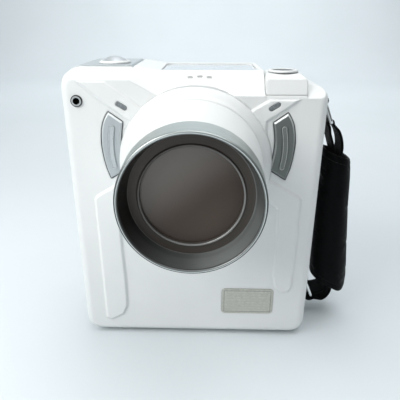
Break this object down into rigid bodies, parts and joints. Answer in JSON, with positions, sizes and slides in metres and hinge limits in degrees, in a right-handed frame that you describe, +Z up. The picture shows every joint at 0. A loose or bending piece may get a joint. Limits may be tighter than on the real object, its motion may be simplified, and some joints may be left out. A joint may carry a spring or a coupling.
{
  "type": "handheld intraoral x-ray unit",
  "caption": "Camera-shaped handheld dental x-ray unit with a metal-rimmed cone on the front, top trigger and power buttons, rear display with keys, and a padded side hand strap.",
  "frame": {"origin": "mouth of the stand socket at the centre of the casing's underside; the four feet stand 2.4 mm below it", "axes": "+Z up, cone and beam towards -Y, hand strap on the +X side"},
  "size_m": [0.1831, 0.1325, 0.1833],
  "materials": {
    "white_shell": "satin injection-moulded shell",
    "rear_white": "satin injection-moulded shell",
    "foot_rubber": "matte",
    "cone_metal": "satin turned and anodised",
    "retainer_metal": "satin dark anodised",
    "window": "matte brown-grey polycarbonate",
    "panel_grey": "metallic grey paint",
    "light_bar": "frosted light guide",
    "indicator": "smoked lens",
    "plate_silver": "brushed foil",
    "chrome_trim": "polished",
    "pad_grey": "metallic grey paint",
    "button_silver": "silver paint",
    "button_grey": "satin grey",
    "spring_steel": "bright",
    "screw_steel": "zinc plated",
    "black_plastic": "matte",
    "pcb": "solder mask",
    "lead": "dull lead sheet",
    "tank_alu": "machined",
    "rubber_black": "matte",
    "resin": "cast resin",
    "glass": "clear",
    "copper": "machined copper",
    "battery_wrap": "heat-shrink film",
    "display_glass": "gloss black window",
    "top_glass": "gloss light blue-grey window",
    "key_rubber": "soft-touch silicone",
    "webbing": "woven nylon",
    "leatherette": "black leatherette"
  },
  "bodies": {
    "casing": {"front_shell": "white_shell", "rear_cover": "rear_white", "case_screws": "screw_steel", "feet": "foot_rubber", "cone_housing": "white_shell", "cone_ring": "cone_metal", "window_retainer": "retainer_metal", "window_plate": "window", "side_panel_left": "panel_grey", "side_panel_right": "panel_grey", "light_bars": "light_bar", "indicator_lenses": "indicator", "rating_plate": "plate_silver", "jack_socket": "chrome_trim", "hex_nuts": "screw_steel", "trigger_pad": "pad_grey", "trigger_ring": "white_shell", "trigger_spring": "spring_steel", "trigger_board": "pcb", "tact_switches": "black_plastic", "power_tower": "white_shell", "power_ring": "white_shell", "top_window": "top_glass", "top_display": "black_plastic", "buzzer": "black_plastic", "beam_limiter": "lead", "beam_filter": "tank_alu", "tank_body": "tank_alu", "port_window": "resin", "tank_gasket": "rubber_black", "tank_lid": "tank_alu", "lead_shield": "lead", "tube_envelope": "glass", "anode": "copper", "cathode": "screw_steel", "hv_transformer": "lead", "hv_multiplier": "resin", "oil_bellows": "rubber_black", "chassis": "tank_alu", "board_standoffs": "screw_steel", "main_board": "pcb", "rear_display": "black_plastic", "rear_lens": "display_glass", "driver_board": "pcb", "battery_pack": "battery_wrap", "battery_bracket": "tank_alu", "inner_screws": "screw_steel", "charge_socket": "black_plastic", "strap_lugs": "chrome_trim", "lug_screws": "screw_steel"},
    "trigger": {"trigger_button": "button_silver"},
    "power": {"power_button": "button_grey"},
    "mode_key": {"key_mode": "key_rubber"},
    "down_key": {"key_down": "key_rubber"},
    "up_key": {"key_up": "key_rubber"},
    "set_key": {"key_set": "key_rubber"},
    "upper_ring": {"d_ring_upper": "chrome_trim"},
    "lower_ring": {"d_ring_lower": "chrome_trim"},
    "strap": {"strap_webbing": "webbing", "strap_pad": "leatherette"}
  },
  "joints": [
    {"name": "trigger_press", "type": "slide", "parent": "casing", "child": "trigger", "axis": [0, 0, -1], "range_m": [0, 0.0018], "stiffness_N_per_m": 600, "deforming": ["trigger_spring"]},
    {"name": "power_press", "type": "slide", "parent": "casing", "child": "power", "axis": [0, 0, -1], "range_m": [0, 0.001], "stiffness_N_per_m": 800},
    {"name": "mode_press", "type": "slide", "parent": "casing", "child": "mode_key", "axis": [0, -1, 0], "range_m": [0, 0.0008], "stiffness_N_per_m": 800},
    {"name": "down_press", "type": "slide", "parent": "casing", "child": "down_key", "axis": [0, -1, 0], "range_m": [0, 0.0008], "stiffness_N_per_m": 800},
    {"name": "up_press", "type": "slide", "parent": "casing", "child": "up_key", "axis": [0, -1, 0], "range_m": [0, 0.0008], "stiffness_N_per_m": 800},
    {"name": "set_press", "type": "slide", "parent": "casing", "child": "set_key", "axis": [0, -1, 0], "range_m": [0, 0.0008], "stiffness_N_per_m": 800},
    {"name": "upper_ring_swing", "type": "hinge", "parent": "casing", "child": "upper_ring", "pos_m": [0.0785, 0, 0.155], "axis": [0, 1, 0], "range_deg": [-50, 5]},
    {"name": "strap_swing", "type": "hinge", "parent": "upper_ring", "child": "strap", "pos_m": [0.0841, 0, 0.1414], "axis": [0, 1, 0], "range_deg": [-5, 50]},
    {"name": "lower_ring_swing", "type": "hinge", "parent": "casing", "child": "lower_ring", "pos_m": [0.0785, 0, 0.028], "axis": [0, 1, 0], "range_deg": [-50, 5]}
  ],
  "couplings": [
    {"joint": "strap_swing", "follows": "upper_ring_swing", "ratio": -1},
    {"joint": "lower_ring_swing", "follows": "upper_ring_swing", "ratio": 1}
  ]
}
